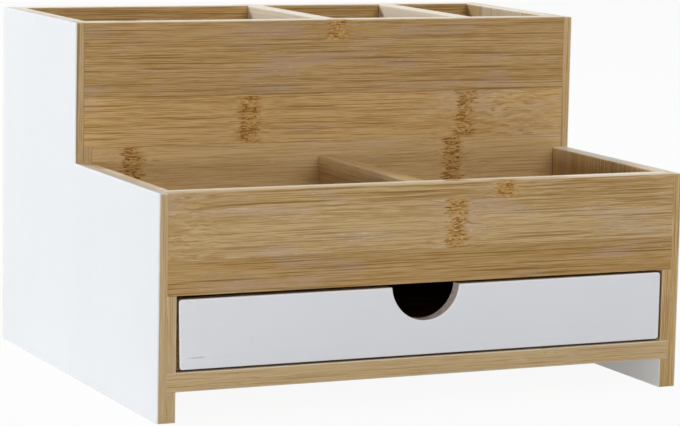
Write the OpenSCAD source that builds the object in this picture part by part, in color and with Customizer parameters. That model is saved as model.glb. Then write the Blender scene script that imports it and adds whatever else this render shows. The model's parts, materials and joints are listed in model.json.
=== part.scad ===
// Two-tier makeup organizer: stepped bamboo case with one drawer.
// Millimetres. X runs to the right, Y to the back and Z up.
// The origin is on the table, under the middle of the case.

/* [Case] */
// Overall width over the two side boards
case_w = 240; // [190:1:320]
// Overall depth from the front edge to the back edge
case_d = 200; // [160:1:280]
// Overall height, which is the height of the rear tier
case_h = 153; // [125:1:220]
// Depth of the low front tier
front_tier_d = 101; // [60:1:125]
// Height of the low front tier
front_tier_h = 93; // [75:1:110]
// Clear height under the bottom board, where the sides stand as feet
foot_h = 12.5; // [5:0.5:25]

/* [Boards] */
// Thickness of the two side boards
side_t = 8; // [6:0.5:12]
// Thickness of the two front panels
front_panel_t = 10; // [6:0.5:14]
// Thickness of the back panel
back_panel_t = 8; // [5:0.5:12]
// Thickness of the floor under the compartments
floor_t = 8; // [4:0.5:12]
// Thickness of the bottom board under the drawer
bottom_board_t = 8; // [5:0.5:12]
// How far the boards are let into the sides
housing = 4; // [2:0.5:5]
// Height above the step where the upper panel's rabbet stops in the left side
left_stop = 7; // [1:0.5:15]
// Height above the step where the upper panel's rabbet stops in the right side
right_stop = 1.5; // [1:0.5:15]

/* [Dividers] */
// Thickness of the dividers
divider_t = 8; // [4:0.5:12]
// Middle of the front divider, measured from the middle of the case
front_divider_x = -2; // [-60:0.5:60]
// Middle of the left rear divider
rear_left_x = 1; // [-60:0.5:45]
// Middle of the right rear divider
rear_right_x = 69; // [30:0.5:80]

/* [Drawer] */
// Clear height of the drawer opening
opening_h = 31; // [24:0.5:40]
// Gap beside and above the drawer front
drawer_gap = 1; // [0.5:0.1:2]
// Running gap under the drawer
slide_gap = 0.4; // [0.2:0.1:1]
// Space left behind the closed drawer
drawer_back_gap = 4; // [1:0.5:20]
// Thickness of the drawer front
drawer_front_t = 6; // [6:0.5:10]
// Thickness of the drawer's sides and back
drawer_wall_t = 6; // [5:0.5:9]
// How far the drawer's sides stop below the top of its front
drawer_side_drop = 5; // [2:0.5:10]
// How far the drawer's sides are let into its front
drawer_rabbet = 3; // [2:0.5:5]
// Thickness of the drawer's bottom panel
drawer_bottom_t = 3; // [2:0.5:5]
// Height of the bottom panel above the drawer's lower edge
drawer_bottom_lift = 3; // [2:0.5:5]
// Depth of the groove that holds the bottom panel
groove = 3; // [1.5:0.5:4]
// Radius of the finger notch
notch_r = 15.5; // [10:0.5:18]
// Middle of the finger notch, measured from the middle of the case
notch_x = -1.3; // [-60:0.1:60]
// Height of the notch's middle above the top of the drawer front
notch_rise = 0.8; // [0:0.1:4]
// Radius of the eased arrises round the drawer front
arris_r = 1; // [0.4:0.1:1.5]

/* [Brads] */
// Shank diameter of a brad
brad_d = 1.2; // [0.8:0.1:2]
// Overall length of a brad
brad_l = 18; // [12:1:25]
// Diameter of a brad's head
brad_head_d = 2; // [2:0.1:3]
// Thickness of a brad's head
brad_head_t = 0.8; // [0.4:0.1:1.2]
// Length of a brad's point
brad_point_l = 1.6; // [1:0.1:3]
// Depth of the head below the side's face
brad_sink = 1; // [0.5:0.1:1.5]
// Distance of a brad below the top of its panel
brad_drop = 9; // [4:0.5:15]

/* [Hidden] */
$fn = 96;

bamboo = "#b38a58";
ply = "#c9a877";
white_paint = "#e9edf0";
steel = "#9a9ca0";

// Planes across the depth
front_y = -case_d / 2;
back_y = case_d / 2;
step_y = front_y + front_tier_d;
back_inner_y = back_y - back_panel_t;

// Planes across the width
side_x = case_w / 2;
inner_x = side_x - side_t;
housed_x = inner_x + housing;

// Levels
bottom_top_z = foot_h + bottom_board_t;
floor_z = bottom_top_z + opening_h;
floor_top_z = floor_z + floor_t;

// Drawer planes
drawer_x = inner_x - drawer_gap;
drawer_inner_x = drawer_x - drawer_wall_t;
drawer_z = bottom_top_z + slide_gap;
drawer_top_z = floor_z - drawer_gap;
drawer_side_top_z = drawer_top_z - drawer_side_drop;
drawer_front_back_y = front_y + drawer_front_t;
drawer_back_y = back_inner_y - drawer_back_gap;
drawer_back_inner_y = drawer_back_y - drawer_wall_t;
drawer_bottom_z = drawer_z + drawer_bottom_lift;

// Overshoot that lets a cutter pass right through a face
cut = 1;

// Solid box between two opposite corners
module block(low, high) {
    translate(low)
        cube(high - low);
}

// Draws its children in place and mirrored to the other side of the case
module both_sides() {
    children();
    mirror([1, 0, 0])
        children();
}

// Stepped outline of a side board, seen from the left, with the depth along X and the height along Y
module side_outline() {
    polygon([
        [front_y, 0], [back_y, 0], [back_y, case_h],
        [step_y, case_h], [step_y, front_tier_h], [front_y, front_tier_h]
    ]);
}

// Rabbets and housings in the left side, open towards the middle of the case and at the board's edges
module side_housings(stop) {
    low_x = -housed_x;
    high_x = -inner_x + cut;
    block([low_x, front_y - cut, foot_h], [high_x, back_inner_y, bottom_top_z]);
    block([low_x, front_y - cut, floor_z], [high_x, front_y + front_panel_t, front_tier_h + cut]);
    block([low_x, front_y, floor_z], [high_x, back_inner_y, floor_top_z]);
    block([low_x, step_y - cut, front_tier_h + stop], [high_x, step_y + front_panel_t, case_h + cut]);
    block([low_x, back_inner_y, foot_h], [high_x, back_y + cut, case_h + cut]);
}

// Left side board with its housings and the nail holes
module side_board(stop) {
    difference() {
        translate([-side_x, 0, 0])
            rotate([90, 0, 90])
                linear_extrude(side_t)
                    side_outline();
        side_housings(stop);
        each_left_brad()
            brad_hole();
    }
}

module left_side_panel() {
    color(white_paint)
        side_board(left_stop);
}

module right_side_panel() {
    color(white_paint)
        mirror([1, 0, 0])
            side_board(right_stop);
}

module back_panel() {
    color(bamboo)
        block([-housed_x, back_inner_y, foot_h], [housed_x, back_y, case_h]);
}

// The upper panel is wide above the rabbets' stops and fits between the sides below them
module upper_front_panel() {
    color(bamboo)
        difference() {
            union() {
                block([-inner_x, step_y, floor_top_z], [inner_x, step_y + front_panel_t, case_h]);
                block([-housed_x, step_y, front_tier_h + left_stop], [0, step_y + front_panel_t, case_h]);
                block([0, step_y, front_tier_h + right_stop], [housed_x, step_y + front_panel_t, case_h]);
            }
            brad_holes();
        }
}

module lower_front_panel() {
    color(bamboo)
        difference() {
            block([-housed_x, front_y, floor_z], [housed_x, front_y + front_panel_t, front_tier_h]);
            brad_holes();
        }
}

module compartment_floor() {
    color(bamboo)
        block([-housed_x, front_y + front_panel_t, floor_z], [housed_x, back_inner_y, floor_top_z]);
}

module bottom_board() {
    color(bamboo)
        block([-housed_x, front_y, foot_h], [housed_x, back_inner_y, bottom_top_z]);
}

// Upright divider on the compartment floor, between two faces across the depth
module divider(middle_x, low_y, high_y, top_z) {
    color(bamboo)
        block([middle_x - divider_t / 2, low_y, floor_top_z], [middle_x + divider_t / 2, high_y, top_z]);
}

module front_divider() {
    divider(front_divider_x, front_y + front_panel_t, step_y, front_tier_h);
}

module rear_divider_left() {
    divider(rear_left_x, step_y + front_panel_t, back_inner_y, case_h);
}

module rear_divider_right() {
    divider(rear_right_x, step_y + front_panel_t, back_inner_y, case_h);
}

// Plate outline with its two front corners rounded, with the thickness along X
module eased_outline(thickness, length) {
    translate([arris_r, 0])
        square([thickness - arris_r, length]);
    translate([0, arris_r])
        square([thickness, length - 2 * arris_r]);
    for (along = [arris_r, length - arris_r])
        translate([arris_r, along])
            circle(arris_r);
}

// Drawer front before the cuts, eased along all four front arrises
module drawer_front_blank() {
    height = drawer_top_z - drawer_z;
    intersection() {
        translate([-drawer_x, front_y, drawer_z])
            rotate([90, 0, 90])
                linear_extrude(2 * drawer_x)
                    eased_outline(drawer_front_t, height);
        translate([drawer_x, front_y, drawer_z])
            rotate([0, 0, 90])
                linear_extrude(height)
                    eased_outline(drawer_front_t, 2 * drawer_x);
    }
}

// Nearly half-round finger notch, as a cutter through the front
module finger_notch() {
    translate([notch_x, drawer_front_back_y + cut, drawer_top_z + notch_rise])
        rotate([90, 0, 0])
            cylinder(h = drawer_front_t + 2 * cut, r = notch_r);
}

// Space of the drawer's bottom panel, used for the panel and for the grooves
module drawer_bottom_space() {
    block(
        [-drawer_inner_x - groove, drawer_front_back_y - groove, drawer_bottom_z],
        [drawer_inner_x + groove, drawer_back_inner_y + groove, drawer_bottom_z + drawer_bottom_t]
    );
}

// Rabbet in the left end of the drawer front
module drawer_front_rabbet() {
    block(
        [-drawer_x - cut, drawer_front_back_y - drawer_rabbet, drawer_z - cut],
        [-drawer_inner_x, drawer_front_back_y + cut, drawer_side_top_z]
    );
}

module drawer_front() {
    color(white_paint)
        difference() {
            drawer_front_blank();
            finger_notch();
            both_sides()
                drawer_front_rabbet();
            drawer_bottom_space();
        }
}

// Left side of the drawer box, grooved for the bottom panel
module drawer_side() {
    color(bamboo)
        difference() {
            block(
                [-drawer_x, drawer_front_back_y - drawer_rabbet, drawer_z],
                [-drawer_inner_x, drawer_back_y, drawer_side_top_z]
            );
            drawer_bottom_space();
        }
}

module drawer_side_left() {
    drawer_side();
}

module drawer_side_right() {
    mirror([1, 0, 0])
        drawer_side();
}

module drawer_back() {
    color(bamboo)
        difference() {
            block(
                [-drawer_inner_x, drawer_back_inner_y, drawer_z],
                [drawer_inner_x, drawer_back_y, drawer_side_top_z]
            );
            drawer_bottom_space();
        }
}

module drawer_bottom() {
    color(ply)
        drawer_bottom_space();
}

// Places its children at each nail in the left side, with +Z pointing into the panel's end
module each_left_brad() {
    for (seat = [[front_y, front_tier_h], [step_y, case_h]])
        translate([-side_x, seat[0] + front_panel_t / 2, seat[1] - brad_drop])
            rotate([0, 90, 0])
                children();
}

// One nail with its head sunk below the side's face
module brad() {
    translate([0, 0, brad_sink])
        cylinder(h = brad_head_t, d = brad_head_d);
    translate([0, 0, brad_sink])
        cylinder(h = brad_l - brad_point_l, d = brad_d);
    translate([0, 0, brad_sink + brad_l - brad_point_l])
        cylinder(h = brad_point_l, d1 = brad_d, d2 = 0);
}

// Hole that the nail and its filler leave in the wood
module brad_hole() {
    translate([0, 0, -cut])
        cylinder(h = cut + brad_sink + brad_head_t, d = brad_head_d);
    brad();
}

module brad_holes() {
    both_sides()
        each_left_brad()
            brad_hole();
}

module brads() {
    color(steel)
        both_sides()
            each_left_brad()
                brad();
}

module brad_fillers() {
    color(white_paint)
        both_sides()
            each_left_brad()
                cylinder(h = brad_sink, d = brad_head_d);
}

left_side_panel();
right_side_panel();
back_panel();
upper_front_panel();
lower_front_panel();
compartment_floor();
bottom_board();
front_divider();
rear_divider_left();
rear_divider_right();
drawer_front();
drawer_side_left();
drawer_side_right();
drawer_back();
drawer_bottom();
brads();
brad_fillers();
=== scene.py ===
"""Two-tier makeup organizer in bamboo and white paint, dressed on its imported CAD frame.

The boards are made as in a workshop: cut to size, let into each other, eased along the arrises,
drilled for the brads and marked off in the glued strips that bamboo board consists of.
"""

import json
import math
import random
from collections import namedtuple
from contextlib import contextmanager

import bmesh
import bpy
from bpy.props import FloatProperty, FloatVectorProperty, PointerProperty
from mathutils import Matrix, Vector

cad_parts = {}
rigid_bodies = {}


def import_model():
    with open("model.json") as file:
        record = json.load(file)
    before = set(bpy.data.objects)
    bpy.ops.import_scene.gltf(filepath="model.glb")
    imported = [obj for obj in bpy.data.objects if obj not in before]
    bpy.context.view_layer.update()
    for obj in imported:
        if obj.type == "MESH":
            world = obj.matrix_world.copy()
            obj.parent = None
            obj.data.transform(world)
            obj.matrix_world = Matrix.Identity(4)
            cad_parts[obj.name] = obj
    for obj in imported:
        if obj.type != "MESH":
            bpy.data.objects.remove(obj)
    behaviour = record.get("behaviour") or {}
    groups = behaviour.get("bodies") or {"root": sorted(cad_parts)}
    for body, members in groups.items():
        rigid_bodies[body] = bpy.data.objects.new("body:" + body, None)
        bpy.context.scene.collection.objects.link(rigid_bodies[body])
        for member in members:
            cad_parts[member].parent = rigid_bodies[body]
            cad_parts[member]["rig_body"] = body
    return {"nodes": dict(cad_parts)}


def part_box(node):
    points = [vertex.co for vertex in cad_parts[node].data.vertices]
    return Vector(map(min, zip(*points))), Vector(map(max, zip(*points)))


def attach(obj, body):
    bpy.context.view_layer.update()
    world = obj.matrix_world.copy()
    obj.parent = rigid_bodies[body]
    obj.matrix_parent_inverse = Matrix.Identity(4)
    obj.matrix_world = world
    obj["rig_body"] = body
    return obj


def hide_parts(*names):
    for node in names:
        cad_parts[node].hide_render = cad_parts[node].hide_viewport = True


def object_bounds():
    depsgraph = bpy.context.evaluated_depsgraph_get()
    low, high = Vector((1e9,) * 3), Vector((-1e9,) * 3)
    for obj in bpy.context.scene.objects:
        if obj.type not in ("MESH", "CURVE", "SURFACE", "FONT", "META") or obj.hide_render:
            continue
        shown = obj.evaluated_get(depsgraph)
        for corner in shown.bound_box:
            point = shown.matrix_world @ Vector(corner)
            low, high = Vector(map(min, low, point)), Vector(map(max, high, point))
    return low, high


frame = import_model()
CAD_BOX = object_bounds()

bl_info = {
    "name": "Makeup Organizer",
    "version": (1, 0, 0),
    "blender": (4, 5, 0),
    "location": "View3D > Sidebar > Organizer",
    "description": "Dresses a two-tier bamboo organizer with a painted drawer on its CAD frame",
    "category": "Add Mesh",
}

MM = 0.001
TO_MM = 1000.0
X, Y, Z = 0, 1, 2
LEFT, RIGHT = -1, 1

# Faces of a box, each an axis and an end
LOW_END, HIGH_END = 0, 1
TOP = (Z, HIGH_END)
FRONT = (Y, LOW_END)

# Axes of a board: along its grain, across its strips and through its thickness
STANDING_PANEL = (X, Z, Y)
LYING_BOARD = (X, Y, Z)
UPRIGHT_SIDE = (Z, Y, X)
DEEP_DIVIDER = (Y, Z, X)

BOARD_KINDS = {
    STANDING_PANEL: "standing panel",
    LYING_BOARD: "lying board",
    UPRIGHT_SIDE: "upright side",
    DEEP_DIVIDER: "divider",
}

# Distances in metres within which two points are one, a place lies on a plane, and a slice meets a point
SAME_POINT = 0.005 * MM
SAME_PLANE = 0.01 * MM
ON_SLICE = 0.001 * MM
# How far a cutter stands out of the face that it opens, and how near to a face its own edges lie
PAST_FACE = 1.0 * MM
NEAR_FACE = 1.0 * MM

# Parts of a face's normal along an axis: the least of a flat face, of one that looks that way and of an
# arris that still turns that way, and the most of a face that looks sideways
FLAT = 0.98
FACING = 0.9
TURNED = 0.7
SIDEWAYS = 0.5

# An edge is sharp above the first angle, and shading runs smoothly over edges below the second
SHARP_ANGLE = math.radians(50)
SMOOTH_ANGLE = math.radians(40)

# Segments of rounded edges and sides of round shapes
ARRIS_SEGMENTS = 3
JOINT_SEGMENTS = 1
DRAWER_SEGMENTS = 4
BRAD_SIDES = 24
NOTCH_SIDES = 96
FLOOR_SIDES = 96

# How far a strip at a board's edge is taken past that edge, so that no glue line is drawn there
PAST_EDGE = 5.0
# Knots of a strip that its material shows, and a place far away from every board for strips with fewer
KNOTS_SHOWN = 2
NO_KNOT = 9000.0
# How much paler a strip is where an arris was sanded
SANDED_TONE = 0.35

# Ranges for the strips out of sight: the first width and the next ones as shares of the usual width, and
# the least share that is left over; the change of tone, and the ash; how far before the board's end the
# first knot lies, and the gaps between knots; and how far a fan lies from a knot and how far it reaches,
# all four in millimetres
FIRST_WIDTH = (0.3, 0.9)
NEXT_WIDTH = (0.94, 1.06)
LEAST_WIDTH = 0.1
TONE_CHANGE = (-0.25, 0.25)
ASH_SHARE = (0, 0.2)
FIRST_KNOT = (0, 240)
KNOT_GAP = (215, 265)
FAN_OFFSET = (15, 25)
FAN_REACH = (12, 22)

# A strip lies between two edges. Its tone is below 0 if it is deep and above 0 if it is pale, and
# ash is its share of grey. Knots are places along the grain, and the fibres weave in a fan at one
# place, so far each way.
Strip = namedtuple("Strip", "low high tone ash knots fan reach", defaults=(0.1, (), NO_KNOT, 1.0))

# Strips in sight, by board and layer, in millimetres
SHOWN_STRIPS = {
    "upper_front_panel first": (
        Strip(144.3, 153.0, -0.7, 0.1, (2.6,)),
        Strip(120.5, 144.3, -0.55, 0.1),
        Strip(99.2, 120.5, -0.12, 0.0, (-39.7, 66.2), 90.0, 22.0),
        # The two lowest strips are paler, partly their own tone and partly painted light that lifts the shade
        # in the tray's corner
        Strip(78.0, 99.2, 0.4, 0.0, (-93.6, 60.7)),
        Strip(59.5, 78.0, 0.2, 0.0, (20.0,)),
    ),
    "lower_front_panel first": (
        Strip(86.0, 93.0, -0.3, 0.2, (35.0,), -108.0, 16.0),
        Strip(65.8, 86.0, 0.1, 0.22, (12.2,), -108.0, 16.0),
        Strip(51.5, 65.8, -0.75, 0.1),
    ),
    "left_side_panel first": (
        Strip(-100.0, -90.0, 0.5, 0.2),
        Strip(-90.0, -8.0, 0.2),
        Strip(-8.0, 13.0, 0.0, 0.3),
        Strip(13.0, 34.0, 0.5, 0.3),
    ),
    "left_side_panel second": (
        Strip(-100.0, -84.0, 0.45, 0.2),
        Strip(-84.0, -63.0, 0.2),
        Strip(-63.0, -42.0, 0.1),
        Strip(-42.0, -20.0, 0.3),
        Strip(-20.0, 6.0, -0.1, 0.12),
    ),
    "right_side_panel first": (
        Strip(-100.0, -90.0, 0.2),
        Strip(-90.0, -70.0, 0.1, 0.2),
        Strip(-70.0, -49.0, 0.0, 0.3),
        Strip(-49.0, -27.0, 0.2, 0.2),
        Strip(-27.0, -7.0, 0.1, 0.3),
        Strip(-7.0, 14.0, 0.3),
        # On the inner face, the strips in the upper tier are paler as painted light where the light from
        # behind on the left falls
        Strip(14.0, 35.0, 0.7),
        Strip(35.0, 55.0, 0.9),
        Strip(55.0, 76.0, 0.8),
    ),
    "right_side_panel second": (
        Strip(-100.0, -88.0, 0.2),
        Strip(-88.0, -10.0, 0.3),
        Strip(-10.0, 12.0, 0.3),
    ),
    "back_panel first": (Strip(133.0, 153.0, 0.0, 0.0),),
    "bottom_board first": (Strip(-100.0, -83.0, 0.45, 0.15),),
    "bottom_board second": (Strip(-100.0, -88.0, 0.55, 0.12, (), 58.0, 9.0),),
    "front_divider first": (Strip(59.5, 93.0, 0.35, 0.2),),
    "front_divider second": (Strip(72.0, 93.0, -0.1, 0.1),),
    # The tops of the rear dividers' left faces are cream: painted light where the light from behind on the
    # left falls on them
    "rear_divider_left first": (Strip(132.0, 153.0, 1.2, 0.0),),
    "rear_divider_right first": (Strip(132.0, 153.0, 1.2, 0.0),),
}

# How pale each board is, and how much paler the upper edge is where a board stands in sight; that paler edge
# is partly sanded wood and partly a painted highlight of the light from above and of the lacquer's sheen
BOARD_TONES_AND_TOP_LIGHT = {
    "left_side_panel": (0.4, 0.7),
    "right_side_panel": (0.4, 0.7),
    "upper_front_panel": (0.0, 1.5),
    "lower_front_panel": (0.0, 1.0),
    "back_panel": (-0.2, 1.5),
    "compartment_floor": (0.0, 0.0),
    "bottom_board": (0.1, 0.0),
    "front_divider": (-0.1, 0.1),
    # The rear dividers' pale tone is partly a paler lamella and partly painted light from behind on the left
    "rear_divider_left": (0.7, 0.5),
    "rear_divider_right": (0.7, 0.5),
    "drawer_side_left": (0.3, 0.0),
    "drawer_side_right": (0.3, 0.0),
    "drawer_back": (0.3, 0.0),
}

# Ash of the two layers on such an edge
EDGE_ASH = {"left_side_panel": (0.35, 0.0), "right_side_panel": (0.0, 0.1)}
NO_ASH = (0.0, 0.0)


def length(name, description, default, low, high):
    """A size in millimetres as a property in metres."""
    return FloatProperty(
        name=name,
        description=description,
        default=default * MM,
        min=low * MM,
        max=high * MM,
        unit="LENGTH",
        precision=5,
    )


def colour(name, description, default):
    """A linear colour as a property."""
    return FloatVectorProperty(
        name=name, description=description, default=default, size=3, min=0.0, max=1.0, subtype="COLOR"
    )


def angle(name, description, default):
    """An angle in degrees as a property in radians."""
    return FloatProperty(
        name=name, description=description, default=math.radians(default), subtype="ANGLE", unit="ROTATION"
    )


def power(name, description, default):
    """A lamp's strength in watts as a property."""
    return FloatProperty(name=name, description=description, default=default, unit="POWER")


class OrganizerSizes(bpy.types.PropertyGroup):
    """Sizes of what the boards get beyond their CAD blanks"""

    arris: length("Arris", "Radius of the sanded edges of the boards", 0.5, 0.1, 1.0)
    joint: length("Joint line", "Easing of the edges that meet in a joint", 0.14, 0.05, 0.3)
    drawer_arris: length("Drawer arris", "Radius of the edges round the painted drawer front", 0.6, 0.3, 1.5)
    drawer_corner: length("Drawer corner", "Radius of the drawer front's four corners", 1.2, 0.3, 2.0)
    drawer_lift: length("Drawer lift", "How far the front's lower edge is planed off", 0.5, 0.0, 1.0)
    drawer_drop: length("Drawer drop", "How far the front's upper edge falls towards the left", 0.5, 0.0, 1.0)
    drawer_trim: length("Drawer trim", "How much is planed off the front's left end, below", 0.7, 0.0, 1.0)
    left_stop: length("Left stop", "Height above the step where the left rabbet ends", 7.0, 1.0, 15.0)
    right_stop: length("Right stop", "Height above the step where the right rabbet ends", 1.5, 1.0, 15.0)
    strip: length("Strip width", "Usual width of a glued bamboo strip", 20.5, 12.0, 30.0)
    notch_radius: length("Notch radius", "Radius of the finger notch in the drawer front", 15.5, 10.0, 18.0)
    notch_x: length("Notch place", "Middle of the finger notch, from the case's middle", -1.3, -60.0, 60.0)
    notch_rise: length("Notch rise", "Height of the notch's middle above the drawer front", 0.8, 0.0, 4.0)
    brad_head: length("Brad head", "Diameter of a brad's head and of its filler", 2.0, 1.5, 3.0)
    brad_head_depth: length("Brad head depth", "Thickness of a brad's head", 0.8, 0.4, 1.2)
    brad_shank: length("Brad shank", "Diameter of a brad's shank", 1.2, 0.8, 2.0)
    brad_length: length("Brad length", "Overall length of a brad", 18.0, 12.0, 25.0)


class OrganizerColours(bpy.types.PropertyGroup):
    """Colours of the bamboo, the paint and the small parts"""

    pale: colour("Pale fibre", "Bamboo between the fibres", (0.70, 0.47, 0.215))
    deep: colour("Deep fibre", "Bamboo in the fibres", (0.51, 0.305, 0.098))
    streak: colour("Streak", "Darkest fibre bundles", (0.29, 0.145, 0.033))
    ochre: colour("Ochre", "Stained wood round a joint of the cane", (0.50, 0.27, 0.055))
    rust: colour("Rust", "Dashes where the cane had a joint", (0.28, 0.115, 0.014))
    knot: colour("Knot", "Dots where the cane had a joint", (0.14, 0.05, 0.007))
    ash: colour("Ash", "Tint that greys a strip", (0.42, 0.59, 1.0))
    # Painted sheen: milky patches that stand in for the lacquer's reflection
    haze: colour("Haze", "Milky patches under the lacquer", (0.60, 0.43, 0.29))
    glue: colour("Glue", "Glue lines between the strips", (0.26, 0.14, 0.045))
    blond: colour("Blond", "Pale strips", (0.70, 0.52, 0.28))
    # Cream is also the colour of painted highlights: on the upper edges, on the lit faces of the rear
    # dividers and in the glints
    cream: colour("Cream", "Palest sanded bamboo", (0.93, 0.845, 0.69))
    side_paint: colour("Side paint", "White paint on the outer faces", (0.795, 0.815, 0.84))
    drawer_paint: colour("Drawer paint", "White paint on the drawer front", (0.83, 0.84, 0.88))
    ply: colour("Plywood", "Face of the drawer's bottom panel", (0.58, 0.40, 0.20))
    grime: colour("Grime", "Dust and hairlines on the paint", (0.42, 0.40, 0.38))
    steel: colour("Steel", "Wire of the brads", (0.42, 0.43, 0.45))


class OrganizerStage(bpy.types.PropertyGroup):
    """Camera, lamps and floor"""

    camera_place: FloatVectorProperty(
        name="Camera place",
        description="Where the camera stands",
        default=(-0.5212, -1.1457, 0.2430),
        size=3,
        subtype="TRANSLATION",
        unit="LENGTH",
    )
    azimuth: angle("Azimuth", "How far the camera looks to the right of straight back", 24.648)
    elevation: angle("Elevation", "How far the camera looks down", 7.952)
    roll: angle("Roll", "Turn of the camera about its line of sight", 1.168)
    lens: FloatProperty(name="Lens", description="Focal length", default=151.2, subtype="DISTANCE_CAMERA")
    key: power("Key", "Light from behind on the left", 59.0)
    fill: power("Fill", "Soft lamp over the front", 11.6)
    low_fill: power("Low fill", "Lamp low on the left", 27.0)
    side_fill: power("Side fill", "Soft lamp on the right", 14.0)
    room: FloatProperty(name="Room", description="Strength of the even light all round", default=0.26)
    floor: colour("Floor", "Pale floor", (0.80, 0.80, 0.80))


def sizes():
    """The sizes that are set in this scene."""
    return bpy.context.scene.organizer_sizes


def colours():
    """The colours that are set in this scene."""
    return bpy.context.scene.organizer_colours


# Mesh work

def choose(*pieces):
    """Selects these pieces alone and makes the first one active."""
    bpy.ops.object.select_all(action="DESELECT")
    for piece in pieces:
        piece.select_set(True)
    bpy.context.view_layer.objects.active = pieces[0]


@contextmanager
def editing(piece):
    """Opens a piece in edit mode and closes it again."""
    choose(piece)
    bpy.ops.object.mode_set(mode="EDIT")
    yield
    bpy.ops.object.mode_set(mode="OBJECT")


def name_and_settle(name):
    """Names the new object and moves its place into its mesh."""
    piece = bpy.context.active_object
    piece.name = name
    piece.data.name = name
    bpy.ops.object.transform_apply(location=True, rotation=True, scale=True)
    return piece


def begin_block(name, low, high):
    """Adds a cube between two corners as the start of a piece."""
    bpy.ops.object.select_all(action="DESELECT")
    bpy.ops.mesh.primitive_cube_add(size=1, location=(low + high) / 2)
    bpy.ops.transform.resize(value=high - low)
    return name_and_settle(name)


def begin_rod(name, start, end, radius, sides):
    """Adds a cylinder between two points as the start of a piece."""
    bpy.ops.object.select_all(action="DESELECT")
    turn = (end - start).to_track_quat("Z", "Y").to_euler()
    bpy.ops.mesh.primitive_cylinder_add(
        vertices=sides, radius=radius, depth=(end - start).length, location=(start + end) / 2, rotation=turn
    )
    return name_and_settle(name)


def cut_away(piece, cutter):
    """Cuts the cutter's shape out of a piece and deletes the cutter."""
    choose(piece)
    bpy.ops.object.modifier_add(type="BOOLEAN")
    cut = piece.modifiers[-1]
    cut.operation = "DIFFERENCE"
    cut.solver = "EXACT"
    cut.object = cutter
    bpy.ops.object.modifier_apply(modifier=cut.name)
    bpy.data.objects.remove(cutter)


def cut_block(piece, low, high):
    """Cuts a box out of a piece."""
    cut_away(piece, begin_block("cutter", low, high))


def slice_at(axis, place):
    """Draws a line round the piece in edit mode, on a plane across an axis."""
    normal = Vector((0, 0, 0))
    normal[axis] = 1
    bpy.ops.mesh.select_all(action="SELECT")
    bpy.ops.mesh.bisect(plane_co=place * normal, plane_no=normal, threshold=ON_SLICE)


def merge_close():
    """Merges points of the piece in edit mode that cuts have left a hair apart."""
    bpy.ops.mesh.select_all(action="SELECT")
    bpy.ops.mesh.remove_doubles(threshold=SAME_POINT)
    bpy.ops.mesh.dissolve_degenerate(threshold=SAME_POINT)


def select_faces(piece, wanted):
    """Selects the faces in edit mode that the test wants."""
    bpy.ops.mesh.select_mode(type="FACE")
    bpy.ops.mesh.select_all(action="DESELECT")
    shape = bmesh.from_edit_mesh(piece.data)
    for face in shape.faces:
        if wanted(face):
            face.select_set(True)
    bmesh.update_edit_mesh(piece.data)


def select_edges(piece, wanted):
    """Selects the sharp edges in edit mode whose middles the test wants."""
    bpy.ops.mesh.select_mode(type="EDGE")
    bpy.ops.mesh.select_all(action="DESELECT")
    shape = bmesh.from_edit_mesh(piece.data)
    for edge in shape.edges:
        sharp = edge.is_manifold and edge.calc_face_angle() > SHARP_ANGLE
        if sharp and wanted((edge.verts[0].co + edge.verts[1].co) / 2):
            edge.select_set(True)
    bmesh.update_edit_mesh(piece.data)


def ease_edges(piece, radius, segments, wanted):
    """Rounds the sharp edges whose middles the test wants."""
    with editing(piece):
        select_edges(piece, wanted)
        bpy.ops.mesh.bevel(offset=radius, segments=segments, affect="EDGES", clamp_overlap=True)


def ease_joints(piece, wanted=lambda middle: True):
    """Takes the sharpness off the edges that meet in joints."""
    ease_edges(piece, sizes().joint, JOINT_SEGMENTS, wanted)


def ease_board(board, exposed):
    """Sands the exposed arrises round and takes the sharpness off the edges in joints."""
    ease_edges(board, sizes().arris, ARRIS_SEGMENTS, exposed)
    ease_joints(board, lambda middle: not exposed(middle))


def smooth(piece):
    """Shades rounded edges smoothly and keeps the faces flat."""
    choose(piece)
    bpy.ops.object.shade_smooth_by_angle(angle=SMOOTH_ANGLE)
    bpy.ops.object.modifier_add(type="WEIGHTED_NORMAL")
    piece.modifiers[-1].keep_sharp = True
    bpy.ops.object.modifier_apply(modifier=piece.modifiers[-1].name)


def within(low, high, point):
    """True if a point lies in a box or on its faces."""
    return all(low[axis] - SAME_PLANE <= point[axis] <= high[axis] + SAME_PLANE for axis in (X, Y, Z))


# Bamboo strips

def spread_knots(chance, low, high):
    """Places of the cane's joints along one strip."""
    place = low - chance.uniform(*FIRST_KNOT)
    places = []
    while place < high:
        if place > low:
            places.append(place)
        place += chance.uniform(*KNOT_GAP)
    return places


def lay_strips(chance, low, high, reach, tone):
    """Strips that fill one layer of a board between two edges, each with its own look."""
    width = sizes().strip * TO_MM
    strips = []
    edge = low
    top = low + width * chance.uniform(*FIRST_WIDTH)
    while edge < high:
        if high - top < LEAST_WIDTH * width:
            top = high
        shade = tone + chance.uniform(*TONE_CHANGE)
        knots = spread_knots(chance, *reach)
        fan = chance.choice(knots) + chance.uniform(*FAN_OFFSET) if knots else NO_KNOT
        ash = chance.uniform(*ASH_SHARE)
        strips.append(Strip(edge, top, shade, ash, tuple(knots), fan, chance.uniform(*FAN_REACH)))
        edge = top
        top = edge + width * chance.uniform(*NEXT_WIDTH)
    return strips


def close_ends(strips, low, high):
    """The strips from low to high, with the outer two taken past the board's edges."""
    ordered = sorted(strips, key=lambda strip: strip.low)
    first = ordered[0]
    ordered[0] = first._replace(low=min(first.low, low) - PAST_EDGE)
    last = ordered[-1]
    ordered[-1] = last._replace(high=max(last.high, high) + PAST_EDGE)
    return ordered


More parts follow.
